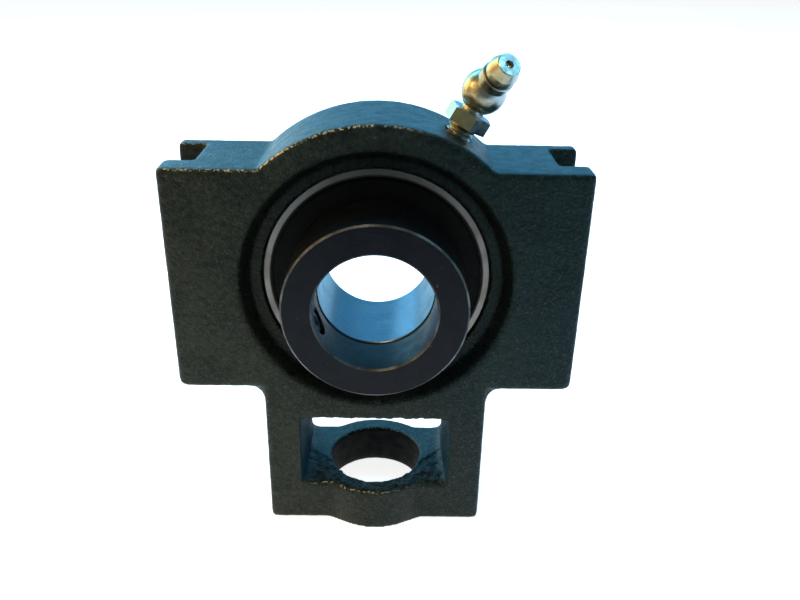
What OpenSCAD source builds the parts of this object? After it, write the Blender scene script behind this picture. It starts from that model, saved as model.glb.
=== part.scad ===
// Take-up bearing unit: a cast housing that slides between two guide rails,
// with a self-aligning insert bearing locked to its shaft by an eccentric collar.
// Millimetres. The origin is the centre of the bearing on the shaft axis.
// The shaft runs along Y with the collar at -Y, and the tail hangs down along -Z.

/* [Housing] */
// Width over the two guide flanges
housing_w = 89; // [84:0.5:100]
// Length of the guide flanges along the travel
rail_len = 51; // [46:0.5:56]
// Thickness from front face to rear face
body_t = 24; // [20:0.5:26]
// Radius of the arch round the bearing
arch_r = 35; // [34:0.5:40]
// Distance between the floors of the two guide grooves
groove_span = 76; // [73:0.5:79]
// Width of a guide groove
groove_w = 13; // [10:0.25:14]
// Thickness of the flange in front of a guide groove
front_flange = 7; // [5:0.25:8]
// Rounding of the outer casting edges
edge_r = 1; // [0.5:0.1:1.5]
// Corner radius at the upper ends of the guide flanges in the front view
flange_top_r = 1; // [1:0.1:5]
// Corner radius at the lower ends of the guide flanges in the front view
flange_low_r = 2.5; // [1.6:0.1:5]
// Fillet between a guide flange and the tail
neck_fillet_r = 4; // [1.5:0.1:6]
// Fillet between the arch and the top of a guide flange
arch_fillet_r = 2; // [1:0.1:4]
// Width of the ledge round the bearing's seat
recess_ledge = 1.3; // [0.8:0.1:2.5]
// How much wider the recess is at the face than at the ledge
recess_taper = 2; // [1:0.1:3]
// Rounding of the recess's edge at the face
recess_edge_r = 0.8; // [0.3:0.1:1.2]
// Height of the lip that holds the insert in its seat
seat_lip = 0.75; // [0.5:0.05:1.5]

/* [Tail] */
// Distance from the shaft axis to the end of the tail
tail_end = 63; // [60:0.5:70]
// Width of the tail
tail_w = 51; // [46:0.5:56]
// Corner radius at the end of the tail
tail_corner_r = 1.8; // [1.6:0.1:5]
// Width of the nut window
window_w = 33; // [28:0.5:38]
// Height of the nut window along the travel
window_h = 18; // [14:0.5:20]
// Corner radius of the nut window
window_corner_r = 1.6; // [0.6:0.1:3]
// Thickness of the end wall below the nut window
end_wall = 11; // [8:0.5:12]
// Diameter of the hole for the take-up screw
screw_hole_d = 22; // [16:0.5:25]
// Rounding of that hole's lower edge
hole_edge_r = 2; // [0.4:0.1:3]
// Diameter of the boss round the take-up screw hole
boss_d = 31; // [27:0.5:34]
// Fillet between the boss and the faces of the tail
boss_fillet_r = 3; // [1:0.1:5]

/* [Insert bearing] */
// Shaft diameter
shaft_d = 25; // [20:0.5:26]
// Thickness of the inner ring below its raceway
inner_wall = 2.981; // [2.5:0.001:4]
// Thickness of the outer ring over its raceway
outer_wall = 2.481; // [2:0.001:3.5]
// Width of the outer ring
outer_w = 14; // [14:0.5:17]
// Width of the inner ring
inner_w = 21.5; // [20:0.5:26]
// How far the inner ring stands out behind the outer ring
inner_rear_step = 0.5; // [0.5:0.1:2]
// Ball diameter
ball_d = 7.938; // [7:0.001:8.2]
// Number of balls
ball_count = 9; // [7:1:9]
// Depth of the raceways below their shoulders
race_depth = 1.47; // [1:0.01:1.8]
// Thickness of the pressed cage
cage_sheet = 0.7; // [0.5:0.05:0.9]
// Radial width of the cage band
cage_band = 3; // [2.5:0.1:3.6]
// Diameter of a cage rivet
rivet_d = 1.2; // [0.8:0.1:1.4]
// Diameter of a rivet's head
rivet_head_d = 2.2; // [1.8:0.1:2.4]
// Height of a rivet's head
rivet_head_t = 0.4; // [0.2:0.05:0.6]
// Thickness of a rubber seal
seal_t = 1; // [0.6:0.1:1.2]
// Depth of the seal groove's wall outside the outer raceway shoulder
seal_step = 0.8; // [0.6:0.1:2]
// Thickness of a flinger
flinger_t = 0.5; // [0.4:0.05:0.7]
// Length of a flinger's hub on the inner ring
flinger_hub = 1; // [0.8:0.05:1.2]
// Radial gap between a flinger's rim and the outer ring
flinger_rim_gap = 0.6; // [0.4:0.1:1]

/* [Locking collar] */
// Outside diameter of the collar
collar_d = 38; // [37:0.1:42]
// Width of the collar
collar_w = 15; // [12:0.5:18]
// Length of the cam on the inner ring
cam_len = 4.3; // [3.5:0.1:6]
// Smallest wall of the cam over the bore
cam_wall = 1.9; // [1.5:0.1:2.4]
// Offset of the cam from the shaft axis
cam_offset = 0.8; // [0.5:0.05:1]
// Thread diameter of the set screw
set_screw_d = 6; // [5:0.5:7]
// Direction of the set screw round the shaft, in degrees from straight up
set_screw_angle = -110; // [-180:5:180]
// How far the point of the set screw is backed off from the bore
set_screw_back = 0.4; // [0.2:0.1:1]
// How far the set screw sits below the outside of the collar
set_screw_sink = 0.3; // [0.1:0.1:1]
// Diameter of the blind hole for the locking drift
drift_d = 5.5; // [4:0.5:7]
// Depth of the blind hole for the locking drift
drift_depth = 3.5; // [2:0.1:4]

/* [Grease fitting] */
// Direction of the fitting round the arch, in degrees from straight up
fitting_angle = 29; // [0:1:40]
// Thread diameter
fitting_d = 6; // [5:0.5:8]
// Length of thread that stays above the arch
fitting_stand = 2; // [1:0.1:4]
// Depth of the tapped hole
tapped_depth = 6; // [4:0.5:7]
// Hexagon width across flats
hex_af = 8.5; // [7:0.5:10]
// Hexagon height
hex_h = 3.2; // [2.5:0.1:5]
// How far the hexagon is turned when it is screwed home, in degrees
hex_turn = 40; // [0:5:60]
// Diameter of the ball-shaped elbow
elbow_d = 9.4; // [8.5:0.1:11]
// Angle between the thread and the head
elbow_angle = 45; // [0:5:60]
// Length of the neck between the hexagon and the elbow
neck_h = 0.7; // [0.4:0.1:2]
// Diameter of that neck
neck_d = 5; // [4:0.1:6]
// Diameter of the head's spigot in the elbow
spigot_d = 5; // [4.4:0.1:5.6]
// Distance from the elbow's centre to the tip
head_len = 10.9; // [10:0.1:14]
// Greatest diameter of the head
head_d = 6.5; // [5.8:0.1:7.5]
// Height of the cone from the head's greatest diameter to the tip
tip_h = 1.9; // [1.2:0.1:2.4]
// Height of the cone from the neck to the head's greatest diameter
nose_h = 0.7; // [0.4:0.1:1.2]
// Thickness of the shoulder where the head meets the elbow
shoulder_t = 0.9; // [0.5:0.1:1.4]
// Diameter of the flat tip
tip_d = 4.8; // [4:0.1:5.4]
// Thickness of the wall in front of the check ball
tip_wall = 0.9; // [0.6:0.1:1.2]
// Diameter of the hole in the tip
tip_hole_d = 1.8; // [1.2:0.1:2]
// Diameter of the check ball
check_ball_d = 2.4; // [2.1:0.1:2.6]
// Diameter of the spring wire behind the check ball
spring_wire_d = 0.32; // [0.2:0.02:0.4]
// Diameter of the duct through the fitting
duct_d = 1.5; // [1:0.1:1.6]

/* [Clearances] */
// Gap between the spherical outside of the insert and its seat
seat_gap = 0.06; // [0.02:0.01:0.15]
// Gap between a ball and a raceway
race_gap = 0.05; // [0.02:0.01:0.1]
// Gap between a ball and its cage pocket
pocket_gap = 0.15; // [0.08:0.01:0.25]
// Gap between a seal lip and the inner ring
lip_gap = 0.1; // [0.05:0.01:0.2]
// Gap between parts that are pressed together or screwed in
press_gap = 0.02; // [0:0.01:0.05]
// Gap between the cam and the collar's recess
cam_gap = 0.3; // [0.2:0.05:0.4]
// Gap between the collar and the inner ring along the shaft
collar_gap = 0.3; // [0.2:0.05:0.5]
// Gap between the shaft and the collar's bore
collar_bore_gap = 0.1; // [0.05:0.01:0.3]
// Gap between the set screw and its thread
thread_gap = 0.05; // [0.02:0.01:0.1]
// Gap between the check ball and the wall of its duct
check_gap = 0.2; // [0.1:0.05:0.3]
// Gap between the head's shoulder and the round of the elbow
shoulder_gap = 0.3; // [0.1:0.05:0.5]
// Gap between a loading slot and the insert that goes in through it
loading_gap = 0.4; // [0.2:0.1:0.8]
// Gap between a flinger and its seal along the shaft
flinger_gap = 0.25; // [0.2:0.05:0.4]

/* [Hidden] */
$fn = 96;
over = 1;

// Insert bearing
bore_r = shaft_d / 2;
ball_r = ball_d / 2;
race_r = 1.03 * ball_r;
inner_race_r = bore_r + inner_wall;
pitch_r = inner_race_r + race_gap + ball_r;
outer_race_r = pitch_r + ball_r + race_gap;
insert_r = outer_race_r + outer_wall;
inner_land_r = inner_race_r + race_depth;
outer_land_r = outer_race_r - race_depth;
seal_groove_r = outer_land_r + seal_step;
inner_rear_y = outer_w / 2 + inner_rear_step;
inner_front_y = inner_rear_y - inner_w;
flinger_y = outer_w / 2 - flinger_t;
flinger_r = seal_groove_r - flinger_rim_gap;
flinger_wall = 0.5;
seal_y = flinger_y - flinger_gap - seal_t;
pocket_r = ball_r + pocket_gap;
cage_in_r = pitch_r - cage_band / 2;
ring_chamfer = 0.5;
bore_chamfer = 0.8;
groove_chamfer = 0.3;
outer_chamfer = 0.5;
outer_face_r = sqrt(pow(insert_r, 2) - pow(outer_w, 2) / 4) - outer_chamfer;
lube_groove_w = 1.8;
lube_groove_depth = 0.6;
lube_hole_r = 0.7;
lube_y = seal_y - lube_groove_w / 2;
lube_floor_r = sqrt(pow(insert_r, 2) - pow(lube_y, 2)) - lube_groove_depth;

// Housing
face_y = body_t / 2;
groove_front_y = front_flange - face_y;
window_floor_z = end_wall - tail_end;
seat_r = insert_r + seat_gap;
recess_floor_y = outer_w / 2 + seat_lip;
recess_floor_r = seat_r + recess_ledge;
grease_groove_depth = 0.6;
passage_r = 1.5;

// Locking collar
collar_r = collar_d / 2;
collar_bore_r = bore_r + collar_bore_gap;
cam_r = bore_r + cam_wall + cam_offset;
cam_root_y = inner_front_y + cam_len;
collar_rear_y = cam_root_y - collar_gap;
collar_front_y = collar_rear_y - collar_w;
collar_step_y = inner_front_y - collar_gap;
collar_chamfer = 0.4;
set_screw_y = (collar_front_y + collar_step_y) / 2;
set_screw_tip_r = collar_bore_r + set_screw_back;
set_screw_end_r = collar_r - set_screw_sink;
set_screw_hex = set_screw_d / 2;
drift_angle = set_screw_angle - 120;

// Grease fitting
hex_top = fitting_stand + hex_h;
elbow_r = elbow_d / 2;
elbow_z = hex_top + neck_h + sqrt(pow(elbow_d, 2) - pow(neck_d, 2)) / 2;
spigot_r = spigot_d / 2;
spigot_base = 1.6;
head_seat_z = sqrt(pow(elbow_d, 2) - pow(spigot_d, 2)) / 2 + shoulder_gap;
head_duct_r = check_ball_d / 2 + check_gap;
check_z = head_len - tip_wall - sqrt(pow(check_ball_d, 2) - pow(tip_hole_d, 2)) / 2 - press_gap;
spring_wire_r = spring_wire_d / 2;
spring_r = (check_ball_d - spring_wire_d) / 2;
spring_turns = 7;
spring_steps = 16;
spring_sides = 6;

BALLS = [for (k = [1 : ball_count]) str("ball_", k)];

// Turns a profile drawn as [radius, distance along the shaft] round the shaft axis
module revolve() {
    rotate([-90, 0, 0]) rotate_extrude() children();
}

// Extrudes an outline drawn in the front view, evenly to front and rear
module plate(t) {
    rotate([90, 0, 0]) linear_extrude(t, center = true) children();
}

// Repeats its children on the left and right
module both_sides() {
    children();
    mirror([1, 0, 0]) children();
}

// A rectangle with true round corners
module rounded_rect(w, h, r) {
    square([w - 2 * r, h], center = true);
    square([w, h - 2 * r], center = true);
    for (x = [-1, 1], y = [-1, 1])
        translate([x * (w / 2 - r), y * (h / 2 - r)]) circle(r);
}

// A rectangle whose upper and lower corners have radii of their own
module uneven_rect(w, h, top_r, low_r) {
    intersection() {
        rounded_rect(w, h, top_r);
        translate([-w, -over]) square([2 * w, h]);
    }
    intersection() {
        rounded_rect(w, h, low_r);
        translate([-w, over - h]) square([2 * w, h]);
    }
}

// A slab in the front view whose corners and edges are all rounded
module soft_slab(w, h, t, top_r, low_r) {
    intersection() {
        plate(t) uneven_rect(w, h, top_r, low_r);
        linear_extrude(h, center = true) rounded_rect(w, t, edge_r);
        rotate([0, 90, 0]) linear_extrude(w, center = true) rounded_rect(h, t, edge_r);
    }
}

// Fills the inside corner between two walls along +X and +Y with a concave fillet
module corner_fillet(r) {
    difference() {
        translate([-over, -over]) square(r + over);
        translate([r, r]) circle(r);
    }
}

// Fills the inside corner between a circle about the origin and a line above its centre
module blend(circle_r, line_y, fillet_r) {
    centre_y = line_y + fillet_r;
    centre_x = sqrt(pow(circle_r + fillet_r, 2) - pow(centre_y, 2));
    share = circle_r / (circle_r + fillet_r);
    difference() {
        polygon([
            [centre_x, line_y - over],
            [centre_x, line_y],
            share * [centre_x, centre_y],
            share * [centre_x, centre_y] - [over, over],
            [centre_x - fillet_r, line_y - over]
        ]);
        translate([centre_x, centre_y]) circle(fillet_r);
    }
}

// The end of the tail in the plan view: the boss and its fillets
module boss_plan() {
    circle(d = boss_d);
    for (y = [0, 1])
        mirror([0, y, 0]) both_sides() blend(boss_d / 2, face_y, boss_fillet_r);
}

// The arch, the guide flanges, the tail and the boss, before anything is cut
module casting_blank() {
    revolve() intersection() {
        rounded_rect(2 * arch_r, body_t, edge_r);
        translate([0, -face_y]) square([arch_r, body_t]);
    }
    soft_slab(housing_w, rail_len, body_t, flange_top_r, flange_low_r);
    translate([0, 0, -tail_end / 2]) soft_slab(tail_w, tail_end, body_t, tail_corner_r, tail_corner_r);
    plate(body_t - 2 * edge_r) both_sides() {
        translate([tail_w / 2, -rail_len / 2]) mirror([0, 1, 0]) corner_fillet(neck_fillet_r);
        blend(arch_r, rail_len / 2, arch_fillet_r);
    }
    translate([0, 0, -tail_end]) linear_extrude(end_wall) boss_plan();
}

// The two grooves that run on the guide rails
module guide_grooves() {
    both_sides()
        translate([groove_span / 2, groove_front_y, -rail_len / 2 - over])
            cube([housing_w / 2, groove_w, rail_len + 2 * over]);
}

// The window for the take-up nut and the hole for its screw, with a rounded lower edge
module tail_cuts() {
    translate([0, 0, window_floor_z + window_h / 2])
        plate(boss_d + 2 * over) rounded_rect(window_w, window_h, window_corner_r);
    translate([0, 0, -tail_end - over]) cylinder(d = screw_hole_d, h = end_wall + 2 * over);
    translate([0, 0, -tail_end]) rotate_extrude()
        translate([screw_hole_d / 2, 0]) corner_fillet(hole_edge_r);
}

// The tapered recess in front of or behind the seat, with a rounded edge at the face
module seat_recess() {
    wall_h = face_y - recess_floor_y;
    wall_len = sqrt(pow(wall_h, 2) + pow(recess_taper, 2));
    inward = [wall_h, -recess_taper] / wall_len;
    mouth_r = recess_floor_r + recess_taper;
    centre = [mouth_r + recess_edge_r * (wall_len - recess_taper) / wall_h, face_y - recess_edge_r];
    revolve() {
        polygon([
            [0, recess_floor_y],
            [recess_floor_r, recess_floor_y],
            [mouth_r, face_y],
            [mouth_r, face_y + over],
            [0, face_y + over]
        ]);
        difference() {
            polygon([
                centre - recess_edge_r * inward,
                [centre[0], face_y],
                [centre[0], face_y + over],
                [mouth_r - over, face_y + over],
                [mouth_r - over, face_y]
            ]);
            translate(centre) circle(recess_edge_r);
        }
    }
}

// The spherical seat, its grease groove and the slots through which the insert goes in sideways
module seat() {
    sphere(seat_r);
    revolve() translate([0, -passage_r]) square([seat_r + grease_groove_depth, lube_y + 2 * passage_r]);
    intersection() {
        revolve() square([seat_r + loading_gap, face_y + over]);
        cube([3 * seat_r, 3 * body_t, outer_w + 2 * loading_gap], center = true);
    }
    seat_recess();
    mirror([0, 1, 0]) seat_recess();
}

// Places its children on the arch with +Z along the thread of the grease fitting
module at_fitting() {
    rotate([0, fitting_angle, 0]) translate([0, 0, arch_r]) children();
}

// Places its children at the elbow's centre with +Z along the head of the grease fitting
module at_elbow() {
    at_fitting() translate([0, 0, elbow_z]) rotate([elbow_angle, 0, 0]) children();
}

// The tapped hole for the grease fitting and the passage below it
module grease_hole() {
    at_fitting() {
        translate([0, 0, -tapped_depth]) cylinder(d = fitting_d, h = tapped_depth + over);
        translate([0, 0, seat_r - arch_r - over]) cylinder(r = passage_r, h = arch_r - seat_r);
    }
}

module housing() {
    color("darkslategray") difference() {
        casting_blank();
        guide_grooves();
        tail_cuts();
        seat();
        grease_hole();
    }
}

// The outer ring in section: spherical outside, raceway, seal grooves and grease groove
module outer_ring_section() {
    seal_depth = outer_w / 2 - seal_y;
    difference() {
        intersection() {
            circle(insert_r);
            polygon([
                [outer_land_r, -outer_w / 2],
                [outer_face_r, -outer_w / 2],
                [outer_face_r + outer_w / 2, 0],
                [outer_face_r, outer_w / 2],
                [outer_land_r, outer_w / 2]
            ]);
        }
        translate([outer_race_r - race_r, 0]) circle(race_r);
        for (side = [0, 1])
            mirror([0, side, 0]) {
                translate([0, seal_y]) square([seal_groove_r, seal_depth + over]);
                polygon([
                    [seal_groove_r - over, outer_w / 2 + over],
                    [seal_groove_r + groove_chamfer, outer_w / 2 + over],
                    [seal_groove_r + groove_chamfer, outer_w / 2],
                    [seal_groove_r, outer_w / 2 - groove_chamfer],
                    [seal_groove_r - over, outer_w / 2 - groove_chamfer]
                ]);
            }
        translate([lube_floor_r, lube_y - lube_groove_w / 2])
            square([insert_r, lube_groove_w]);
    }
}

module outer_ring() {
    color("silver") difference() {
        revolve() outer_ring_section();
        for (side = [0, 180])
            rotate([0, side, 0]) translate([0, lube_y, outer_land_r - over])
                cylinder(r = lube_hole_r, h = insert_r);
    }
}

// The inner ring in section, without its cam
module inner_ring_section() {
    difference() {
        polygon([
            [bore_r, inner_front_y + cam_len / 2],
            [bore_r, inner_rear_y - ring_chamfer],
            [bore_r + ring_chamfer, inner_rear_y],
            [inner_land_r - ring_chamfer, inner_rear_y],
            [inner_land_r, inner_rear_y - ring_chamfer],
            [inner_land_r, cam_root_y + ring_chamfer],
            [inner_land_r - ring_chamfer, cam_root_y],
            [bore_r + cam_wall / 2, cam_root_y],
            [bore_r + cam_wall / 2, inner_front_y + cam_len / 2]
        ]);
        translate([inner_race_r + race_r, 0]) circle(race_r);
    }
}

// Places its children on the axis of the cam
module at_cam() {
    translate([0, 0, cam_offset]) children();
}

module inner_ring() {
    color("gainsboro") difference() {
        union() {
            revolve() inner_ring_section();
            at_cam() revolve() translate([0, inner_front_y]) square([cam_r, cam_len + ring_chamfer]);
        }
        revolve() translate([0, inner_front_y - over]) square([bore_r, inner_w + 2 * over]);
        revolve() polygon([
            [0, inner_front_y - over],
            [bore_r + bore_chamfer + over, inner_front_y - over],
            [bore_r, inner_front_y + bore_chamfer],
            [0, inner_front_y + bore_chamfer]
        ]);
    }
}

// Repeats its children at the ball centres, turned by a share of the spacing
module each_ball(share) {
    for (k = [1 : ball_count])
        rotate([0, (k - 1 + share) * 360 / ball_count, 0]) translate([0, 0, pitch_r]) children();
}

module ball(k) {
    color("lightgray")
        rotate([0, (k - 1) * 360 / ball_count, 0]) translate([0, 0, pitch_r]) sphere(ball_r);
}

// One half of the ribbon cage: cups round the balls and flat webs between them
module cage_half(side) {
    cup_h = pocket_r + cage_sheet;
    color("darkkhaki") mirror([0, side, 0]) difference() {
        intersection() {
            revolve() translate([cage_in_r, 0]) square([cage_band, cup_h]);
            union() {
                revolve() translate([cage_in_r - over, 0]) square([cage_band + 2 * over, cage_sheet]);
                each_ball(0) sphere(cup_h);
            }
        }
        each_ball(0) sphere(pocket_r);
        each_ball(1 / 2) rotate([90, 0, 0]) cylinder(d = rivet_d + 2 * press_gap, h = 4 * cage_sheet, center = true);
    }
}

module cage_front() {
    cage_half(1);
}

module cage_rear() {
    cage_half(0);
}

module cage_rivets() {
    color("gray") each_ball(1 / 2) rotate([90, 0, 0]) {
        cylinder(d = rivet_d, h = 2 * (cage_sheet + rivet_head_t), center = true);
        for (side = [0, 1])
            mirror([0, 0, side]) translate([0, 0, cage_sheet]) cylinder(d = rivet_head_d, h = rivet_head_t);
    }
}

// A rubber seal held in the outer ring, with a lip that tapers to the inner ring
module seal(side) {
    lip_r = inner_land_r + lip_gap;
    lip_taper = 1.4;
    color("black") mirror([0, side, 0]) revolve() polygon([
        [seal_groove_r - press_gap, seal_y],
        [seal_groove_r - press_gap, seal_y + seal_t],
        [lip_r + lip_taper, seal_y + seal_t],
        [lip_r, seal_y + 0.7 * seal_t],
        [lip_r, seal_y + 0.4 * seal_t],
        [lip_r + lip_taper, seal_y + 0.2 * seal_t],
        [outer_land_r - lip_taper / 2, seal_y]
    ]);
}

module front_seal() {
    seal(1);
}

module rear_seal() {
    seal(0);
}

// A pressed disc with a short hub that turns with the inner ring
module flinger(side) {
    hub_r = inner_land_r + press_gap;
    color("black") mirror([0, side, 0]) revolve() polygon([
        [hub_r, flinger_y],
        [flinger_r, flinger_y],
        [flinger_r, flinger_y + flinger_t],
        [hub_r + flinger_wall, flinger_y + flinger_t],
        [hub_r + flinger_wall, flinger_y + flinger_hub],
        [hub_r, flinger_y + flinger_hub]
    ]);
}

module front_flinger() {
    flinger(1);
}

module rear_flinger() {
    flinger(0);
}

// Places its children on a radius of the collar, with +Z outwards
module at_collar(angle) {
    translate([0, set_screw_y, 0]) rotate([0, angle, 0]) children();
}

// The collar in section, before its recess and holes are cut
module collar_section() {
    polygon([
        [collar_bore_r, collar_rear_y],
        [collar_bore_r, collar_front_y + collar_chamfer],
        [collar_bore_r + collar_chamfer, collar_front_y],
        [collar_r - collar_chamfer, collar_front_y],
        [collar_r, collar_front_y + collar_chamfer],
        [collar_r, collar_rear_y - collar_chamfer],
        [collar_r - collar_chamfer, collar_rear_y]
    ]);
}

module locking_collar() {
    color("dimgray") difference() {
        revolve() collar_section();
        at_cam() revolve() translate([0, collar_step_y])
            square([cam_r + cam_gap, collar_rear_y - collar_step_y + over]);
        at_collar(set_screw_angle) cylinder(d = set_screw_d, h = collar_d);
        at_collar(drift_angle) translate([0, 0, collar_r - drift_depth]) cylinder(d = drift_d, h = collar_d);
    }
}

// A cup-point set screw with a hexagon socket
module collar_set_screw() {
    r = set_screw_d / 2 - thread_gap;
    point = 0.25 * set_screw_d / 2;
    color("darkslategray") at_collar(set_screw_angle) difference() {
        rotate_extrude() polygon([
            [0, set_screw_tip_r + point],
            [r - 2 * point, set_screw_tip_r],
            [r - point, set_screw_tip_r],
            [r, set_screw_tip_r + point],
            [r, set_screw_end_r - point / 2],
            [r - point / 2, set_screw_end_r],
            [0, set_screw_end_r]
        ]);
        translate([0, 0, (set_screw_tip_r + set_screw_end_r) / 2])
            cylinder(d = set_screw_hex / cos(30), h = collar_d, $fn = 6);
    }
}

// A hexagon whose upper corners are turned off at 30 degrees
module fitting_hexagon() {
    translate([0, 0, fitting_stand]) rotate([0, 0, hex_turn]) intersection() {
        cylinder(d = hex_af / cos(30), h = hex_h, $fn = 6);
        cylinder(r1 = hex_af / 2 + hex_h / tan(30), r2 = hex_af / 2, h = hex_h);
    }
}

// The thread, hexagon and ball-shaped elbow of the grease fitting
module grease_fitting_body() {
    color("goldenrod") difference() {
        at_fitting() {
            translate([0, 0, -tapped_depth])
                cylinder(r = fitting_d / 2 - press_gap, h = tapped_depth + fitting_stand);
            fitting_hexagon();
            cylinder(d = neck_d, h = elbow_z);
            translate([0, 0, elbow_z]) sphere(elbow_r);
        }
        at_fitting() translate([0, 0, -tapped_depth - over])
            cylinder(d = duct_d, h = tapped_depth + elbow_z + over);
        at_elbow() cylinder(d = duct_d, h = elbow_d);
        at_elbow() translate([0, 0, spigot_base]) cylinder(r = spigot_r + press_gap, h = elbow_d);
    }
}

// The head that a grease gun's coupler grips, with its spigot in the elbow
module grease_fitting_head() {
    nose_z = head_len - tip_h;
    color("khaki") at_elbow() difference() {
        rotate_extrude() polygon([
            [0, spigot_base],
            [spigot_r, spigot_base],
            [spigot_r, head_seat_z],
            [head_d / 2, head_seat_z],
            [head_d / 2, head_seat_z + shoulder_t],
            [spigot_r, head_seat_z + shoulder_t],
            [spigot_r, nose_z - nose_h],
            [head_d / 2, nose_z],
            [tip_d / 2, head_len],
            [0, head_len]
        ]);
        translate([0, 0, spigot_base - over])
            cylinder(r = head_duct_r, h = head_len - tip_wall - spigot_base + over);
        cylinder(d = tip_hole_d, h = head_len + over);
    }
}

module grease_check_ball() {
    color("silver") at_elbow() translate([0, 0, check_z]) sphere(check_ball_d / 2);
}

// The corners of one ring of the spring wire, square to the coil's radius
function spring_ring(i) =
    let (
        turn = i / spring_steps,
        low = spigot_base + spring_wire_r + press_gap,
        reach = check_ball_d / 2 + spring_wire_r + press_gap,
        high = check_z - sqrt(pow(reach, 2) - pow(spring_r, 2)),
        z = low + (high - low) * turn / spring_turns
    )
    [for (j = [0 : spring_sides - 1])
        let (
            a = 360 * j / spring_sides,
            r = spring_r + spring_wire_r * cos(a)
        )
        [r * cos(360 * turn), r * sin(360 * turn), z + spring_wire_r * sin(a)]];

module grease_check_spring() {
    rings = spring_turns * spring_steps;
    points = [for (i = [0 : rings]) each spring_ring(i)];
    walls = [for (i = [0 : rings - 1], j = [0 : spring_sides - 1])
        let (next = (j + 1) % spring_sides)
        [i * spring_sides + j, i * spring_sides + next,
            (i + 1) * spring_sides + next, (i + 1) * spring_sides + j]];
    start = [for (j = [0 : spring_sides - 1]) spring_sides - 1 - j];
    end = [for (j = [0 : spring_sides - 1]) rings * spring_sides + j];
    color("silver") at_elbow() polyhedron(points, concat(walls, [start, end]));
}

housing();
outer_ring();
inner_ring();
for (k = [1 : ball_count]) ball(k);
cage_front();
cage_rear();
cage_rivets();
front_seal();
rear_seal();
front_flinger();
rear_flinger();
locking_collar();
collar_set_screw();
grease_fitting_body();
grease_fitting_head();
grease_check_ball();
grease_check_spring();
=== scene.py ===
"""A take-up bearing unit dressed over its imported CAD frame.

Metres. The origin is the bearing's centre, X points right, Y away from the viewer and Z up.
"""
import math

import bmesh
import bpy
import numpy as np
from mathutils import Matrix, Vector, noise


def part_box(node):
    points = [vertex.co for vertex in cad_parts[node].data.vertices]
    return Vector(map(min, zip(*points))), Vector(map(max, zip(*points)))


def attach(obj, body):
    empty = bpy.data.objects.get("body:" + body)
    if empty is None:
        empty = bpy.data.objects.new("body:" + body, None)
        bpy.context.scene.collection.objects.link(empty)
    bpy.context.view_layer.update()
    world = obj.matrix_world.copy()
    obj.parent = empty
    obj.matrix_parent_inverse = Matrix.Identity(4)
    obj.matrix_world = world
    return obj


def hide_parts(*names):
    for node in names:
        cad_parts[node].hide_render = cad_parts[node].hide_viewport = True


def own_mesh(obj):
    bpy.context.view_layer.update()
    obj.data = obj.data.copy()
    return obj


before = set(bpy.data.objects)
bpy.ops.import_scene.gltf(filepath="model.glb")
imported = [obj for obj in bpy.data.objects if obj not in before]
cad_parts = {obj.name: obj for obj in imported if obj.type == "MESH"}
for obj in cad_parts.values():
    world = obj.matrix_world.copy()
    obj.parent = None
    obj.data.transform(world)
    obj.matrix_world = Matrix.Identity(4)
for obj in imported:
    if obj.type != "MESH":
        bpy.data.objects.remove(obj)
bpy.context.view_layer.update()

MM = 0.001

# The camera stands where the photograph was taken from
IMAGE_WIDTH_PX = 800
FOCAL_PX = 788.3
SENSOR = 36
CAMERA_AT = Vector((2.52, -164.77, 70.49)) * MM
PITCH = math.radians(-25.640)
YAW = math.radians(0.980)
ROLL = math.radians(1.205)

# Sizes of the housing and the bearing, as in the CAD model
SEAT_R = 26.06 * MM
SEAT_HALF_W = 7.75 * MM
FACE_Y = 12 * MM
TAIL_END_Z = -63 * MM
WINDOW_HALF_W = 16.5 * MM
WINDOW_FLOOR_Z = -52.0 * MM
WINDOW_TOP_Z = -34.0 * MM
SCREW_HOLE_R = 11 * MM
ARCH_R = 35 * MM
RECESS_R = 32 * MM
BORE_END_Y = -13.2 * MM
SEAL_EDGE_R = 23.2 * MM

# Sizes of the grease fitting, as in the CAD model
FITTING_TURN = math.radians(29)
ELBOW_TURN = math.radians(45)
THREAD_STAND = 2 * MM
THREAD_DEPTH = 6 * MM
THREAD_R = 2.98 * MM
ELBOW_Z = 9.88 * MM
HEAD_SEAT = 4.28 * MM
HEAD_LEN = 10.9 * MM
HEAD_R = 3.25 * MM
TIP_R = 2.4 * MM
TIP_WALL = 0.9 * MM
TIP_HOLE_R = 0.9 * MM
SPIGOT_R = 2.5 * MM
HEAD_DUCT_R = 1.4 * MM
SPRING_BASE = 1.6 * MM
SPRING_LOW = 1.78 * MM
SPRING_HIGH = 8.279 * MM
SPRING_R = 1.04 * MM
SPRING_WIRE_R = 0.16 * MM
SPRING_TURNS = 7

# Relief of the casting that the CAD model leaves out
VOXEL = 0.45 * MM
RIDGE_Y = 1.5 * MM
RIDGE_BEND = 5 * MM
RIDGE_HEIGHT = 0.6 * MM
REAR_DRAFT = 0.6 * MM
FRONT_DRAFT = 0.8 * MM
LUMP_DEPTH = 0.05 * MM
GRAIN_DEPTH = 0.09 * MM
WINDOW_GRAIN = 4.5
MACHINED_R = 26.3 * MM
CAST_R = 30.5 * MM
MACHINED_SMOOTHING = 0.85

# Where the paint changes: painted warm-to-cool light from left to right, dust with painted light that fades
# upwards, and beads of bare metal placed for glints
PAINTED_WARM_X = -35 * MM
PAINTED_COOL_X = 65 * MM
PAINTED_LIGHT_DRIFT = 30 * MM
DUST_AND_LIGHT_LOW_Z = -45 * MM
DUST_AND_LIGHT_HIGH_Z = 30 * MM
BEADS_END_X = 12 * MM
ARCH_BEADS_Z = 15 * MM
TAIL_BEADS_Z = -46 * MM
TAIL_BEADS_END_Z = -43 * MM

# Bends sharper than this show as edges on the fitting
CREASE = math.radians(25)

AT_FITTING = Matrix.Rotation(FITTING_TURN, 4, "Y") @ Matrix.Translation((0, 0, ARCH_R))
AT_ELBOW = AT_FITTING @ Matrix.Translation((0, 0, ELBOW_Z)) @ Matrix.Rotation(ELBOW_TURN, 4, "X")


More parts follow.
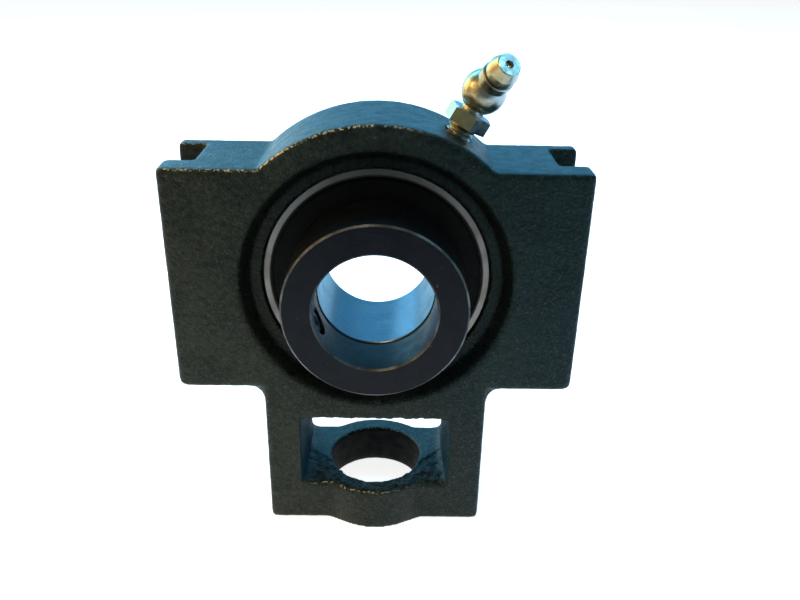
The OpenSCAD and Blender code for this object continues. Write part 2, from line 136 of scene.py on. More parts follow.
def make_camera():
    """A pinhole camera with the photograph's place, direction and focal length."""
    forward = Vector((math.sin(YAW) * math.cos(PITCH), math.cos(YAW) * math.cos(PITCH), math.sin(PITCH)))
    level = Vector((math.cos(YAW), -math.sin(YAW), 0))
    upright = level.cross(forward)
    right = level * math.cos(ROLL) + upright * math.sin(ROLL)
    up = upright * math.cos(ROLL) - level * math.sin(ROLL)
    data = bpy.data.cameras.new("camera")
    data.sensor_width = SENSOR
    data.lens = FOCAL_PX * SENSOR / IMAGE_WIDTH_PX
    data.clip_start = 10 * MM
    camera = bpy.data.objects.new("camera", data)
    turn = Matrix((right, up, -forward)).transposed().to_4x4()
    camera.matrix_world = Matrix.Translation(CAMERA_AT) @ turn
    bpy.context.scene.collection.objects.link(camera)
    bpy.context.scene.camera = camera


class Finish:
    """One procedural material, built node by node round a Principled shader."""

    def __init__(self, name, specular=0.5):
        self.material = bpy.data.materials.new(name)
        self.material.use_nodes = True
        self.nodes = self.material.node_tree.nodes
        self.links = self.material.node_tree.links
        self.shader = self.nodes["Principled BSDF"]
        self.shader.inputs["Specular IOR Level"].default_value = specular
        self.place = self.nodes.new("ShaderNodeTexCoord").outputs["Object"]
        self.normal = None

    def feed(self, socket, value):
        """Links value to the socket if it is another socket, and otherwise sets it."""
        if isinstance(value, bpy.types.NodeSocket):
            self.links.new(value, socket)
        else:
            socket.default_value = value

    def set(self, **values):
        """Feeds the shader's own inputs, with underscores for the spaces in their names."""
        for name, value in values.items():
            self.feed(self.shader.inputs[name.replace("_", " ")], value)

    def math(self, operation, a, b=0.0):
        """The result of one sum."""
        n = self.nodes.new("ShaderNodeMath")
        n.operation = operation
        self.feed(n.inputs[0], a)
        self.feed(n.inputs[1], b)
        return n.outputs[0]

    def plus(self, a, b):
        """Two values added."""
        return self.math("ADD", a, b)

    def times(self, product, *others):
        """Two or more values multiplied."""
        for other in others:
            product = self.math("MULTIPLY", product, other)
        return product

    def size(self, value):
        """A value without its sign."""
        return self.math("ABSOLUTE", value)

    def span(self, value, low, high, to_low=0.0, to_high=1.0):
        """Maps a value smoothly from one range to another."""
        n = self.nodes.new("ShaderNodeMapRange")
        n.interpolation_type = "SMOOTHSTEP"
        self.feed(n.inputs["Value"], value)
        for name, number in zip(("From Min", "From Max", "To Min", "To Max"), (low, high, to_low, to_high)):
            n.inputs[name].default_value = number
        return n.outputs[0]

    def fall(self, value, low, high):
        """1 below low, 0 above high and smooth between them."""
        return self.span(value, low, high, 1.0, 0.0)

    def mix(self, share, a, b):
        """Blends two colours."""
        n = self.nodes.new("ShaderNodeMix")
        n.data_type = "RGBA"
        self.feed(n.inputs["Factor"], share)
        for socket, colour in zip([s for s in n.inputs if s.type == "RGBA"], (a, b)):
            self.feed(socket, (*colour, 1) if isinstance(colour, tuple) else colour)
        return next(s for s in n.outputs if s.type == "RGBA")

    def grain(self, per_metre, detail=3.0, roughness=0.55):
        """Noise in space, with that many features in a metre."""
        n = self.nodes.new("ShaderNodeTexNoise")
        self.feed(n.inputs["Vector"], self.place)
        n.inputs["Scale"].default_value = per_metre
        n.inputs["Detail"].default_value = detail
        n.inputs["Roughness"].default_value = roughness
        return n.outputs[0]

    def line_grain(self, along, per_metre, detail=2.0):
        """Noise along one measure, for turning marks."""
        n = self.nodes.new("ShaderNodeTexNoise")
        n.noise_dimensions = "1D"
        self.feed(n.inputs["W"], along)
        n.inputs["Scale"].default_value = per_metre
        n.inputs["Detail"].default_value = detail
        return n.outputs[0]

    def pits(self, per_metre, size):
        """Small round dents scattered over the surface, 1 at their middles."""
        n = self.nodes.new("ShaderNodeTexVoronoi")
        self.feed(n.inputs["Vector"], self.place)
        n.inputs["Scale"].default_value = per_metre
        return self.fall(n.outputs["Distance"], 0.0, size)

    def split(self, vector):
        """The X, Y and Z of a vector."""
        n = self.nodes.new("ShaderNodeSeparateXYZ")
        self.feed(n.inputs[0], vector)
        return n.outputs

    def coordinates(self):
        """The place in the shared frame as X, Y and Z."""
        return self.split(self.place)

    def facing(self):
        """The surface's direction as X, Y and Z."""
        return self.split(self.nodes.new("ShaderNodeTexCoord").outputs["Normal"])

    def distance(self, a, b):
        """Distance from the line where two coordinates are 0."""
        return self.math("SQRT", self.plus(self.times(a, a), self.times(b, b)))

    def radius(self):
        """Distance from the shaft axis."""
        x, _, z = self.coordinates()
        return self.distance(x, z)

    def round_measure(self):
        """Distance from the shaft axis plus distance along it, which changes across every turned face."""
        return self.plus(self.radius(), self.coordinates()[1])

    def chamfers(self):
        """1 on faces that lean halfway to the shaft axis, as chamfered edges do."""
        lean = self.size(self.facing()[1])
        return self.times(self.span(lean, 0.3, 0.6), self.fall(lean, 0.8, 0.95))

    def sideways(self):
        """1 on faces that look left or right."""
        return self.span(self.size(self.facing()[0]), 0.6, 0.85)

    def edges(self, low, high):
        """1 where the mesh bends outwards sharply."""
        return self.span(self.nodes.new("ShaderNodeNewGeometry").outputs["Pointiness"], low, high)

    def bump(self, height, depth):
        """Adds relief of that depth in metres to what is already there."""
        n = self.nodes.new("ShaderNodeBump")
        n.inputs["Strength"].default_value = 1.0
        n.inputs["Distance"].default_value = depth
        self.feed(n.inputs["Height"], height)
        if self.normal is not None:
            self.links.new(self.normal, n.inputs["Normal"])
        self.normal = n.outputs["Normal"]
        self.links.new(self.normal, self.shader.inputs["Normal"])


def recess_shade_share(f):
    """Painted shade: where the paint is darker, deeper in the recess round the bearing."""
    _, y, _ = f.coordinates()
    near = f.fall(f.radius(), RECESS_R - 1.2 * MM, RECESS_R)
    return f.times(near, f.span(f.size(y), FACE_Y - 1.2 * MM, FACE_Y - 0.5 * MM, 0.6, 0.0))


def wear_and_glint_beads(f):
    """Beads of bare gold-tinted metal along the upper front edges, left of the middle: wear, and painted
    glints, as they sit only where the warm lamps glint.
    """
    x, _, z = f.coordinates()
    _, back, up = f.facing()
    zone = f.math("MAXIMUM", f.span(z, 0.0, ARCH_BEADS_Z), f.fall(z, TAIL_BEADS_Z, TAIL_BEADS_END_Z))
    upper_front = f.times(f.span(up, 0.3, 0.5), f.fall(back, -0.55, -0.35))
    # left of the middle only, where the warm lamps glint: painted glints as well as wear
    rubbed = f.times(f.span(f.grain(1700, 2), 0.50, 0.57), f.fall(x, 0.0, BEADS_END_X))
    return f.times(upper_front, f.edges(0.505, 0.53), zone, rubbed)


def window_wall_share(f):
    """The side walls of the nut window."""
    x, _, z = f.coordinates()
    low = f.fall(z, WINDOW_TOP_Z, WINDOW_TOP_Z + 0.5 * MM)
    inside = f.fall(f.size(x), WINDOW_HALF_W + 1.1 * MM, WINDOW_HALF_W + 1.6 * MM)
    return f.times(low, inside, f.sideways())


def screw_hole_share(f):
    """The wall of the take-up screw's hole."""
    x, y, z = f.coordinates()
    near = f.fall(f.distance(x, y), SCREW_HOLE_R + 0.15 * MM, SCREW_HOLE_R + 0.5 * MM)
    return f.times(near, f.fall(z, WINDOW_FLOOR_Z - 0.6 * MM, WINDOW_FLOOR_Z))


def cast_paint():
    """Dark green semi-gloss paint over a sand casting.

    Its colour is uneven, and painted light takes it from warm brown on the left to blue on the right, in its
    gloss too.
    It has dust specks, thickest low down, with painted light making it lighter towards the bottom. It has a
    painted blue reflection on the window's walls, painted black shade in the screw hole and painted shade in
    the recess round the bearing. It is worn along the edges and has beads of bare gold-tinted metal set where
    the warm lamps glint.
    """
    f = Finish("cast_paint_finish", specular=0.21)
    x, _, z = f.coordinates()
    mottle = f.span(f.plus(f.grain(90, 4), f.times(f.grain(750, 3), 1.2)), 0.85, 1.35)
    # painted light: the brown mix is the paint as the warm lamps light it, the blue mix is the paint as the
    # cool lamps light it
    brown = f.mix(mottle, (0.0045, 0.0062, 0.0040), (0.0330, 0.0345, 0.0210))
    blue = f.mix(mottle, (0.0015, 0.0062, 0.0078), (0.0085, 0.0185, 0.0205))
    # painted light: warm-lit brown on the left to cool-lit blue on the right, with some random drift
    painted_light_tint = f.span(f.plus(x, f.times(f.grain(30, 2), PAINTED_LIGHT_DRIFT)), PAINTED_WARM_X, PAINTED_COOL_X)
    colour = f.mix(painted_light_tint, brown, blue)
    # dust specks, and painted light: their share falls with height, so the paint is lighter towards the
    # bottom
    dust = f.times(f.span(f.grain(1900, 3), 0.50, 0.72), f.span(z, DUST_AND_LIGHT_LOW_Z, DUST_AND_LIGHT_HIGH_Z, 1.0, 0.4))
    colour = f.mix(f.times(dust, 0.85), colour, (0.072, 0.072, 0.055))
    fleck = f.times(f.pits(620, 0.13), f.span(f.grain(500, 2), 0.50, 0.60))
    colour = f.mix(f.times(fleck, 0.8), colour, (0.24, 0.24, 0.20))
    # painted shade: darker paint inside the recess round the bearing
    colour = f.mix(recess_shade_share(f), colour, (0.0040, 0.0050, 0.0042))
    rim = f.edges(0.52, 0.58)
    worn = f.times(rim, f.span(f.grain(800, 4), 0.45, 0.62))
    colour = f.mix(f.times(worn, 0.5), colour, (0.07, 0.058, 0.030))
    bare = wear_and_glint_beads(f)
    # beads of gold-tinted bare metal: partly wear, partly painted glints
    colour = f.mix(bare, colour, (0.46, 0.38, 0.25))
    wall = window_wall_share(f)
    # painted reflection: the window's side walls are tinted blue, like the blue lamps reflected in them
    colour = f.mix(f.times(wall, 0.8), colour, (0.010, 0.045, 0.070))
    hole = screw_hole_share(f)
    # painted shade: the screw hole's wall is near black
    colour = f.mix(hole, colour, (0.0025, 0.0025, 0.0025))
    rough = f.span(f.grain(350, 4), 0.3, 0.7, 0.27, 0.43)
    rough = f.plus(rough, f.times(f.math("MAXIMUM", wall, hole), 0.35))
    rough = f.math("SUBTRACT", rough, f.times(rim, 0.13))
    f.set(Base_Color=colour, Metallic=bare, Roughness=rough)
    # painted reflection: the gloss is tinted warm on the left and cool blue on the right, following the
    # painted light above
    f.set(Specular_Tint=f.mix(painted_light_tint, (1.0, 1.0, 0.86), (0.64, 0.94, 1.0)))
    f.bump(f.grain(800, 3), 0.12 * MM)
    f.bump(f.grain(1900, 4, 0.65), 0.18 * MM)
    f.bump(f.times(f.pits(700, 0.28), -1.0), 0.08 * MM)
    return f.material


def turned_steel(name, dark, light, rough_low, rough_high, grazing, black_smear_and_shade):
    """Turned and ground steel, with fine rings round the shaft axis and a few stains.

    grazing is its tint at a low angle. The last argument takes the finish and gives the share of each place
    that is
    black: the seal's smear on the outer ring, and painted shade on the inner ring's front end.
    """
    f = Finish(name)
    along = f.round_measure()
    fine = f.line_grain(along, 7000, 3)
    stain = f.span(f.grain(160, 4), 0.42, 0.7)
    black = black_smear_and_shade(f)
    colour = f.mix(f.span(fine, 0.3, 0.7), dark, light)
    colour = f.mix(f.times(stain, 0.35), colour, (0.16, 0.12, 0.10))
    # black share: the seal's smear on the outer ring, painted shade on the inner ring's front end
    colour = f.mix(black, colour, (0.006, 0.006, 0.008))
    rough = f.plus(f.span(fine, 0.3, 0.7, rough_low, rough_high), f.times(stain, 0.12))
    rough = f.plus(rough, f.times(black, 0.25))
    f.set(Base_Color=colour, Metallic=f.math("SUBTRACT", 1.0, black), Roughness=rough)
    f.set(Specular_Tint=(*grazing, 1))
    f.bump(fine, 0.006 * MM)
    f.bump(f.line_grain(along, 1800), 0.008 * MM)
    return f.material


def front_end(f):
    """Painted shade: the inner ring's cam and the chamfer in front of its bore, all but a bright line along
    the bore.
    """
    return f.fall(f.coordinates()[1], BORE_END_Y - 0.25 * MM, BORE_END_Y - 0.15 * MM)


def seal_edge(f):
    """The outer ring's inner edge, where the seal smears it."""
    return f.span(f.radius(), SEAL_EDGE_R, SEAL_EDGE_R + 0.25 * MM, 0.85, 0.0)


def black_oxide(name, marks):
    """Oiled black oxide over turned steel, with painted shade making the round sides blackest, and rubbed
    through on the chamfers.

    marks is the number of turning marks in a metre.
    """
    f = Finish(name, specular=0.14)
    fine = f.line_grain(f.round_measure(), marks, 3)
    patches = f.span(f.grain(220, 4), 0.35, 0.65)
    ends = f.mix(patches, (0.0062, 0.0060, 0.0115), (0.0100, 0.0098, 0.0165))
    # painted shade: the round sides get a much darker copy of the oxide than the turned ends
    sides = f.mix(patches, (0.0022, 0.0023, 0.0030), (0.0034, 0.0036, 0.0046))
    turned_end = f.span(f.size(f.facing()[1]), 0.5, 0.9)
    colour = f.mix(turned_end, sides, ends)
    speck = f.times(f.pits(520, 0.10), f.span(f.grain(300, 2), 0.44, 0.56))
    colour = f.mix(f.times(speck, 0.8), colour, (0.25, 0.25, 0.26))
    worn = f.times(f.chamfers(), f.span(f.grain(400, 3), 0.3, 0.7, 0.2, 0.65))
    colour = f.mix(worn, colour, (0.20, 0.19, 0.18))
    rough = f.plus(f.span(fine, 0.3, 0.7, 0.22, 0.34), f.span(f.grain(500, 3), 0.35, 0.7, 0.0, 0.1))
    rough = f.plus(rough, f.span(turned_end, 0.0, 1.0, 0.08, 0.0))
    f.set(Base_Color=colour, Metallic=worn, Roughness=rough)
    f.bump(fine, 0.005 * MM)
    f.bump(f.grain(900, 3), 0.010 * MM)
    return f.material


def flinger_black():
    """Dull black finish on the pressed flingers, with faint rings and a little dust."""
    f = Finish("flinger_black_finish", specular=0.1)
    dust = f.span(f.grain(700, 4), 0.5, 0.75)
    patches = f.span(f.grain(200, 3), 0.35, 0.65)
    colour = f.mix(patches, (0.0034, 0.0034, 0.0036), (0.0048, 0.0047, 0.0049))
    colour = f.mix(f.times(dust, 0.3), colour, (0.014, 0.013, 0.012))
    f.set(Base_Color=colour, Roughness=f.span(f.grain(1200, 3), 0.3, 0.7, 0.5, 0.66))
    f.bump(f.line_grain(f.round_measure(), 2500), 0.008 * MM)
    f.bump(f.grain(1600, 3), 0.010 * MM)
    return f.material


def seal_rubber():
    """Moulded rubber with faint rings from its mould and a dull bloom."""
    f = Finish("seal_rubber_finish", specular=0.1)
    bloom = f.span(f.grain(260, 4), 0.4, 0.7)
    colour = f.mix(bloom, (0.0030, 0.0030, 0.0032), (0.0062, 0.0061, 0.0063))
    f.set(Base_Color=colour, Roughness=f.span(f.grain(900, 3), 0.3, 0.7, 0.45, 0.62))
    f.bump(f.line_grain(f.round_measure(), 1500), 0.020 * MM)
    f.bump(f.grain(3500, 3), 0.010 * MM)
    return f.material


def ball_steel():
    """Polished bearing steel with a film of grease in places."""
    f = Finish("ball_steel_finish")
    film = f.span(f.grain(420, 4), 0.45, 0.7)
    colour = f.mix(film, (0.74, 0.745, 0.76), (0.55, 0.52, 0.45))
    f.set(Base_Color=colour, Metallic=1.0, Roughness=f.plus(f.times(film, 0.15), 0.06))
    f.bump(f.grain(5000, 3), 0.0008 * MM)
    return f.material


def cage_steel():
    """Pressed sheet steel, dulled by the press and by grease."""
    f = Finish("cage_steel_finish")
    drawn = f.line_grain(f.round_measure(), 4000, 3)
    film = f.span(f.grain(300, 4), 0.4, 0.7)
    colour = f.mix(film, (0.50, 0.47, 0.41), (0.33, 0.28, 0.19))
    f.set(Base_Color=colour, Metallic=1.0, Roughness=f.span(drawn, 0.3, 0.7, 0.28, 0.44))
    f.bump(drawn, 0.006 * MM)
    f.bump(f.grain(1500, 3), 0.008 * MM)
    return f.material


def plated_steel():
    """Bright plating with a faint yellow passivation, and painted light: gold on faces that look left,
    cyan-silver on faces that look right. Dulled in small patches.
    """
    f = Finish("plated_steel_finish")
    # painted light: the colour follows which way the face looks, gold to the left and cyan-silver to the
    # right, with some noise
    passivation_and_side_light = f.plus(f.facing()[0], f.times(f.grain(330, 4), 1.2))
    colour = f.mix(f.span(passivation_and_side_light, 0.1, 1.1), (0.43, 0.34, 0.18), (0.36, 0.43, 0.45))
    scuff = f.span(f.grain(1900, 4), 0.55, 0.72)
    colour = f.mix(f.times(scuff, 0.5), colour, (0.22, 0.19, 0.13))
    rough = f.plus(f.span(f.grain(700, 3), 0.3, 0.7, 0.27, 0.40), f.times(scuff, 0.12))
    f.set(Base_Color=colour, Metallic=1.0, Roughness=rough)
    f.bump(f.grain(2600, 3), 0.004 * MM)
    f.bump(f.grain(600, 2), 0.005 * MM)
    return f.material


def spring_steel():
    """Drawn spring wire."""
    f = Finish("spring_steel_finish")
    drawn = f.grain(4200, 3)
    colour = f.mix(drawn, (0.50, 0.50, 0.51), (0.64, 0.63, 0.61))
    f.set(Base_Color=colour, Metallic=1.0, Roughness=f.span(drawn, 0.3, 0.7, 0.22, 0.36))
    f.bump(drawn, 0.004 * MM)
    return f.material


def add_piece(name, mesh, material, body, slot, *nodes):
    """Puts a mesh in the scene as a smooth piece that rides on a body and stands for CAD nodes."""
    piece = bpy.data.objects.new(name, mesh)
    bpy.context.scene.collection.objects.link(piece)
    mesh.materials.clear()
    mesh.materials.append(material)
    mesh.shade_smooth()
    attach(piece, body)
    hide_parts(*nodes)
    return piece


def rows(items, name, width, kind):
    """One value of every vertex or edge, as the rows of an array."""
    flat = np.empty(len(items) * width, kind)
    items.foreach_get(name, flat)
    return flat.reshape(-1, width)


def move_points(mesh, points):
    """Sets the mesh's vertices."""
    mesh.vertices.foreach_set("co", points.astype(np.float32).ravel())
    mesh.update()


def ease(value, low, high):
    """0 below low, 1 above high and smooth between them."""
    t = np.clip((value - low) / (high - low), 0, 1)
    return t * t * (3 - 2 * t)


def relax(points, edges, passes, amount):
    """Moves each point towards the middle of its neighbours, by its own amount, to round off edges."""
    count = np.bincount(edges.ravel(), minlength=len(points))[:, None]
    for _ in range(passes):
        middle = np.empty_like(points)
        for axis in range(3):
            ends = points[:, axis]
            middle[:, axis] = (np.bincount(edges[:, 0], ends[edges[:, 1]], len(points))
                               + np.bincount(edges[:, 1], ends[edges[:, 0]], len(points)))
        points = points + amount[:, None] * (middle / count - points)
    return points


def window_share(points):
    """1 on the walls of the nut window, falling to 0 a little way outside it."""
    middle = (WINDOW_TOP_Z + WINDOW_FLOOR_Z) / 2
    above = np.abs(points[:, 2] - middle) - (WINDOW_TOP_Z - WINDOW_FLOOR_Z) / 2
    return 1 - ease(np.maximum(np.abs(points[:, 0]) - WINDOW_HALF_W, above), 0.3 * MM, 1.2 * MM)


def floor_share(points):
    """1 on the floor of the nut window, falling to 0 a little way above it."""
    return window_share(points) * (1 - ease(np.abs(points[:, 2] - WINDOW_FLOOR_Z), 0.5 * MM, 1.6 * MM))


def side_share(points):
    """1 on the side walls of the nut window, falling to 0 a little way from them."""
    across = np.abs(points[:, 0])
    return window_share(points) * ease(across, WINDOW_HALF_W - 1.5 * MM, WINDOW_HALF_W - 0.3 * MM)


def ridge_at(points):
    """Where the mould's two halves meet across the window: a curve that bends forward near the screw hole."""
    near = np.clip((WINDOW_HALF_W - np.abs(points[:, 0])) / (WINDOW_HALF_W - SCREW_HOLE_R), 0, 1)
    return RIDGE_Y - RIDGE_BEND * near


def sand_relief(points, per_metre, falloff):
    """Relief of the sand mould at each point, from 0 to 1."""
    relief = [noise.fractal(Vector(p) * per_metre, falloff, 2.0, 3) for p in points]
    return 0.5 + 0.5 * np.clip(relief, -1, 1)


def remeshed(node, voxel):
    """A CAD node's surface as a mesh of even faces of about that size."""
    source = bpy.data.objects.new("casting_source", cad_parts[node].data.copy())
    bpy.context.scene.collection.objects.link(source)
    remesh = source.modifiers.new("remesh", "REMESH")
    remesh.mode = "VOXEL"
    remesh.voxel_size = voxel
    mesh = bpy.data.meshes.new_from_object(source.evaluated_get(bpy.context.evaluated_depsgraph_get()))
    bpy.data.objects.remove(source)
    return mesh


def housing_casting(material):
    """The housing as it comes from a sand mould.

    Its edges are rounded and its skin is grainy. The window has a ridge across its floor and draft on its
    side walls, and is rougher in front of the ridge. The bearing's seat keeps its size.
    """
    mesh = remeshed("housing", VOXEL)
    points = rows(mesh.vertices, "co", 3, np.float32).astype(float)
    edges = rows(mesh.edges, "vertices", 2, np.int32)
    off_axis = np.hypot(points[:, 0], points[:, 2])
    seat = (off_axis < SEAT_R + 0.4 * MM) & (np.abs(points[:, 1]) < SEAT_HALF_W + 0.2 * MM)
    points = relax(points, edges, passes=3, amount=np.where(seat, 0.1, 0.5))
    before_ridge = ridge_at(points) - points[:, 1]
    points[:, 2] += floor_share(points) * RIDGE_HEIGHT * np.clip(1 - np.abs(before_ridge) / FACE_Y, 0, 1)
    depth = points[:, 1] / FACE_Y
    draft = REAR_DRAFT * np.clip(depth, 0, 1) + FRONT_DRAFT * np.clip(-depth, 0, 1)
    points[:, 0] += np.sign(points[:, 0]) * side_share(points) * draft
    move_points(mesh, points)

    normals = rows(mesh.vertices, "normal", 3, np.float32).astype(float)
    lumps = sand_relief(points, 160, 0.9)
    grain = sand_relief(points, 620, 0.8)
    machined = 1 - ease(np.hypot(points[:, 0], points[:, 2]), MACHINED_R, CAST_R)
    rough = window_share(points) * ease(before_ridge, 0, 0.8 * MM)
    skin = LUMP_DEPTH * lumps + GRAIN_DEPTH * grain * (1 + WINDOW_GRAIN * rough)
    points -= normals * (skin * (1 - MACHINED_SMOOTHING * machined))[:, None]
    reach = np.linalg.norm(points, axis=1)
    on_seat = (reach < SEAT_R + 0.35 * MM) & (np.abs(points[:, 1]) < SEAT_HALF_W)
    points[on_seat] *= (np.maximum(reach[on_seat], SEAT_R + 0.01 * MM) / reach[on_seat])[:, None]
    low, high = (np.array(corner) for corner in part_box("housing"))
    move_points(mesh, np.clip(points, low, high))
    add_piece("housing_casting", mesh, material, "housing", "cast_paint", "housing")


def fitting_top(material):
    """Hexagon, neck and elbow of the grease fitting, cut from the CAD body just under the hexagon."""
    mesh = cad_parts["grease_fitting_body"].data.copy()
    stored_normals = mesh.attributes.get("custom_normal")
    if stored_normals is not None:
        mesh.attributes.remove(stored_normals)
    shape = bmesh.new()
    shape.from_mesh(mesh)
    bmesh.ops.remove_doubles(shape, verts=shape.verts, dist=0.0001 * MM)
    cut = AT_FITTING @ Vector((0, 0, THREAD_STAND - 0.1 * MM))
    along = AT_FITTING.to_3x3() @ Vector((0, 0, 1))
    everything = [*shape.verts, *shape.edges, *shape.faces]
    bmesh.ops.bisect_plane(shape, geom=everything, plane_co=cut, plane_no=along, clear_inner=True)
    shape.to_mesh(mesh)
    shape.free()
    add_piece("fitting_top", mesh, material, "housing", "plated_steel", "grease_fitting_body")
    mesh.set_sharp_from_angle(angle=CREASE)


def round_point(place, r, angle, z):
    """The point at a radius, an angle and a height about a place's own Z axis."""
    return place @ Vector((r * math.cos(angle), r * math.sin(angle), z))


def skinned(name, rings, ends):
    """A closed mesh with a band of faces from each ring of points to the next.

    With ends, the first and the last ring are filled in. Without them, the last ring joins the first.
    """
    shape = bmesh.new()
    loops = [[shape.verts.new(point) for point in ring] for ring in rings]
    following = loops[1:] if ends else loops[1:] + loops[:1]
    for lower, upper in zip(loops, following):
        for k in range(len(lower)):
            j = (k + 1) % len(lower)
            shape.faces.new((lower[k], lower[j], upper[j], upper[k]))
    if ends:
        shape.faces.new(loops[0])
        shape.faces.new(loops[-1])
    bmesh.ops.recalc_face_normals(shape, faces=shape.faces)
    mesh = bpy.data.meshes.new(name)
    shape.to_mesh(mesh)
    shape.free()
    return mesh


def fitting_head(material):
    """The fitting's head, turned from one profile: tip and cone, grip groove, and a collar on the elbow."""
    collar_r = HEAD_R + 0.25 * MM
    collar_top = HEAD_SEAT + 2.35 * MM
    groove_r = SPIGOT_R + 0.15 * MM
    groove_top = collar_top + 0.5 * MM
    profile = [
        (HEAD_DUCT_R, SPRING_BASE),
        (SPIGOT_R, SPRING_BASE),
        (SPIGOT_R, HEAD_SEAT),
        (collar_r - 0.25 * MM, HEAD_SEAT),
        (collar_r, HEAD_SEAT + 0.25 * MM),
        (collar_r, collar_top - 0.2 * MM),
        (collar_r - 0.2 * MM, collar_top),
        (groove_r, collar_top + 0.1 * MM),
        (groove_r, groove_top - 0.1 * MM),
        (HEAD_R - 0.1 * MM, groove_top),
        (HEAD_R, groove_top + 0.15 * MM),
        (HEAD_R, HEAD_LEN - 2.2 * MM),
        (HEAD_R - 0.12 * MM, HEAD_LEN - 1.9 * MM),
        (TIP_R + 0.08 * MM, HEAD_LEN - 0.12 * MM),
        (TIP_R - 0.08 * MM, HEAD_LEN),
        (TIP_HOLE_R, HEAD_LEN),
        (TIP_HOLE_R, HEAD_LEN - TIP_WALL),
        (HEAD_DUCT_R, HEAD_LEN - TIP_WALL),
    ]
    around = 72
    angles = [2 * math.pi * k / around for k in range(around)]
    rings = [[round_point(AT_ELBOW, r, angle, z) for r, z in profile] for angle in angles]
    mesh = skinned("fitting_head", rings, ends=False)
    add_piece("fitting_head", mesh, material, "housing", "plated_steel", "grease_fitting_head")
    mesh.set_sharp_from_angle(angle=CREASE)


def fitting_thread(material):
    """The fitting's thread: a rod whose radius rises and falls along a helix."""
    pitch = 1.0 * MM
    tooth = 0.55 * MM
    flank = 2.6
    crest = 0.15
    around = 72
    steps = 112
    low = 0.3 * MM - THREAD_DEPTH
    high = THREAD_STAND - 0.02 * MM
    rings = []
    for i in range(steps + 1):
        z = low + (high - low) * i / steps
        ring = []
        for k in range(around):
            phase = (z / pitch - k / around) % 1.0
            valley = min(1.0, max(0.0, flank * abs(phase - 0.5) - crest))
            ring.append(round_point(AT_FITTING, THREAD_R - tooth * valley, 2 * math.pi * k / around, z))
        rings.append(ring)
    mesh = skinned("fitting_thread", rings, ends=True)
    add_piece("fitting_thread", mesh, material, "housing", "plated_steel", "grease_fitting_body")


def check_spring(material):
    """The coil spring behind the check ball, which shortens as the ball is pressed in."""
    steps = 32
    sides = 10
    rings = []
    for i in range(SPRING_TURNS * steps + 1):
        turn = i / steps
        z = SPRING_LOW + (SPRING_HIGH - SPRING_LOW) * turn / SPRING_TURNS
        ring = []
        for k in range(sides):
            b = 2 * math.pi * k / sides
            r = SPRING_R + SPRING_WIRE_R * math.cos(b)
            ring.append(round_point(AT_ELBOW, r, 2 * math.pi * turn, z + SPRING_WIRE_R * math.sin(b)))
        rings.append(ring)
    mesh = skinned("check_spring", rings, ends=True)
    piece = add_piece("check_spring", mesh, material, "housing", "spring_steel", "grease_check_spring")
    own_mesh(piece)


def dress(node, material):
    """Gives a CAD node its finish."""
    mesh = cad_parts[node].data
    mesh.materials.clear()
    mesh.materials.append(material)


def add_lamp(name, place, size, colour, watts):
    """A soft rectangular lamp that faces the bearing."""
    data = bpy.data.lights.new(name, "AREA")
    data.shape = "RECTANGLE"
    data.size, data.size_y = size
    data.color = colour
    data.energy = watts
    lamp = bpy.data.objects.new(name, data)
    lamp.location = place
    lamp.rotation_mode = "QUATERNION"
    lamp.rotation_quaternion = (-Vector(place)).to_track_quat("-Z", "Y")
    bpy.context.scene.collection.objects.link(lamp)


def make_light():
    """Dim even surroundings, broad cool panels behind, and lamps: warm on the left and cool on the right."""
    blue = (0.13, 0.58, 1.0)
    warm = (1.0, 0.78, 0.40)
    world = bpy.data.worlds.new("studio")
    world.use_nodes = True
    background = world.node_tree.nodes["Background"]
    background.inputs["Color"].default_value = (0.80, 0.93, 1.0, 1)
    background.inputs["Strength"].default_value = 0.08
    bpy.context.scene.world = world
    add_lamp("sky_panel", (0.0, 0.80, 0.36), (1.7, 0.75), blue, 5.4)
    add_lamp("sky_left", (-0.55, 0.80, 0.36), (0.55, 0.75), (0.32, 0.74, 1.0), 3.2)
    add_lamp("sky_high", (0.0, 0.65, 0.80), (1.2, 0.4), blue, 10.0)
    add_lamp("cool_right", (0.62, -0.30, 0.35), (0.9, 0.8), (0.24, 0.72, 1.0), 1.7)
    add_lamp("cyan_spark", (0.46, -0.08, 0.53), (0.15, 0.15), (0.36, 0.80, 1.0), 0.5)
    add_lamp("warm_left", (-0.62, -0.40, 0.34), (0.9, 0.8), warm, 2.0)
    add_lamp("warm_spark", (-0.58, -0.09, 0.38), (0.12, 0.12), warm, 0.9)
    add_lamp("warm_key", (-0.17, -0.36, 0.60), (0.20, 0.20), (1.0, 0.80, 0.48), 0.9)
    add_lamp("warm_back", (-0.60, 0.35, 0.25), (0.4, 0.4), (1.0, 0.76, 0.38), 2.2)


def floor_white():
    """White paper that glows to the camera and in reflections, and still takes a shadow."""
    glow = 0.86
    material = bpy.data.materials.new("floor_white")
    material.use_nodes = True
    nodes = material.node_tree.nodes
    links = material.node_tree.links
    nodes.clear()
    out = nodes.new("ShaderNodeOutputMaterial")
    paper = nodes.new("ShaderNodeBsdfDiffuse")
    paper.inputs["Color"].default_value = (0.8, 0.8, 0.8, 1)
    lift = nodes.new("ShaderNodeEmission")
    rays = nodes.new("ShaderNodeLightPath")
    seen = rays.outputs["Is Camera Ray"]
    for ray in ("Is Glossy Ray", "Is Transmission Ray"):
        either = nodes.new("ShaderNodeMath")
        either.operation = "MAXIMUM"
        links.new(seen, either.inputs[0])
        links.new(rays.outputs[ray], either.inputs[1])
        seen = either.outputs[0]
    share = nodes.new("ShaderNodeMath")
    share.operation = "MULTIPLY"
    share.inputs[1].default_value = glow
    links.new(seen, share.inputs[0])
    links.new(share.outputs[0], lift.inputs["Strength"])
    both = nodes.new("ShaderNodeAddShader")
    links.new(paper.outputs[0], both.inputs[0])
    links.new(lift.outputs[0], both.inputs[1])
    links.new(both.outputs[0], out.inputs["Surface"])
    return material


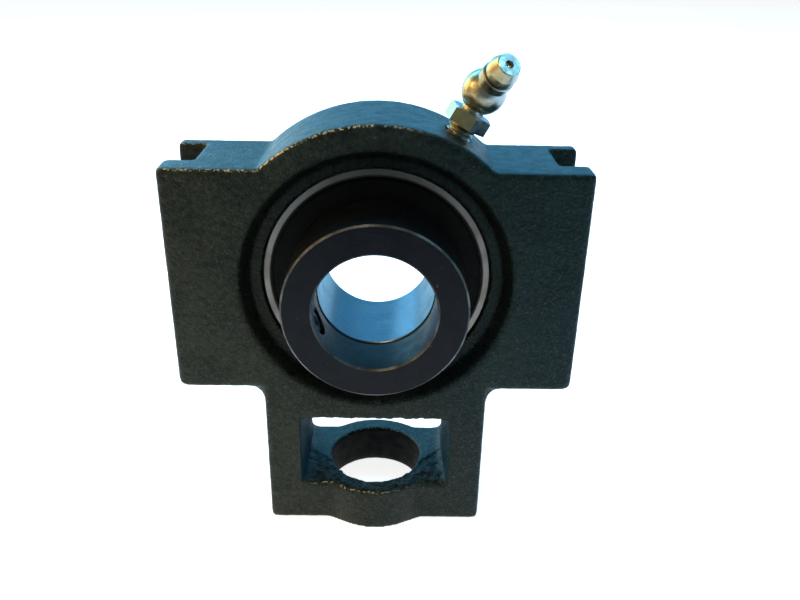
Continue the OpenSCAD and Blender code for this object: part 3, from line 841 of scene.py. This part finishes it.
def flag_brown():
    """Dull brown card."""
    material = bpy.data.materials.new("flag_brown")
    material.use_nodes = True
    shader = material.node_tree.nodes["Principled BSDF"]
    shader.inputs["Base Color"].default_value = (0.15, 0.125, 0.09, 1)
    shader.inputs["Roughness"].default_value = 0.9
    return material


def add_sheet(name, corners, material):
    """A flat sheet between four corners."""
    mesh = bpy.data.meshes.new(name)
    mesh.from_pydata(corners, [], [(0, 1, 2, 3)])
    mesh.materials.append(material)
    sheet = bpy.data.objects.new(name, mesh)
    bpy.context.scene.collection.objects.link(sheet)
    return sheet


def make_floor():
    """A broad white floor just under the tail."""
    half = 3.0
    z = TAIL_END_Z - 0.02 * MM
    corners = [(-half, -half, z), (half, -half, z), (half, half, z), (-half, half, z)]
    floor = add_sheet("floor", corners, floor_white())


def make_flag():
    """A card behind the camera, unseen by it, that keeps the far floor out of the front faces' gloss."""
    left, right, y, high = -0.20, 0.24, -0.20, 0.20
    corners = [(left, y, TAIL_END_Z), (right, y, TAIL_END_Z), (right, y, high), (left, y, high)]
    flag = add_sheet("flag", corners, flag_brown())
    flag.visible_camera = False


make_camera()
make_light()
make_floor()
make_flag()

plating = plated_steel()
housing_casting(cast_paint())
fitting_top(plating)
fitting_head(plating)
fitting_thread(plating)
check_spring(spring_steel())

polished = ball_steel()
dress("grease_check_ball", polished)
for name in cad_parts:
    if name.startswith("ball_"):
        dress(name, polished)
pressed = cage_steel()
for name in ("cage_front", "cage_rear", "cage_rivets"):
    dress(name, pressed)
rubber = seal_rubber()
for name in ("front_seal", "rear_seal"):
    dress(name, rubber)
dull = flinger_black()
for name in ("front_flinger", "rear_flinger"):
    dress(name, dull)
dress("outer_ring", turned_steel("outer_ring_finish", (0.21, 0.19, 0.18), (0.31, 0.28, 0.27), 0.38, 0.52,
                                 (1.0, 1.0, 1.0), seal_edge))
dress("inner_ring", turned_steel("inner_ring_finish", (0.13, 0.14, 0.155), (0.17, 0.18, 0.20), 0.20, 0.30,
                                 (0.45, 0.70, 0.85), front_end))
dress("locking_collar", black_oxide("black_steel_finish", 6000))
dress("collar_set_screw", black_oxide("screw_steel_finish", 9000))

scene = bpy.context.scene
scene.view_settings.view_transform = "Standard"
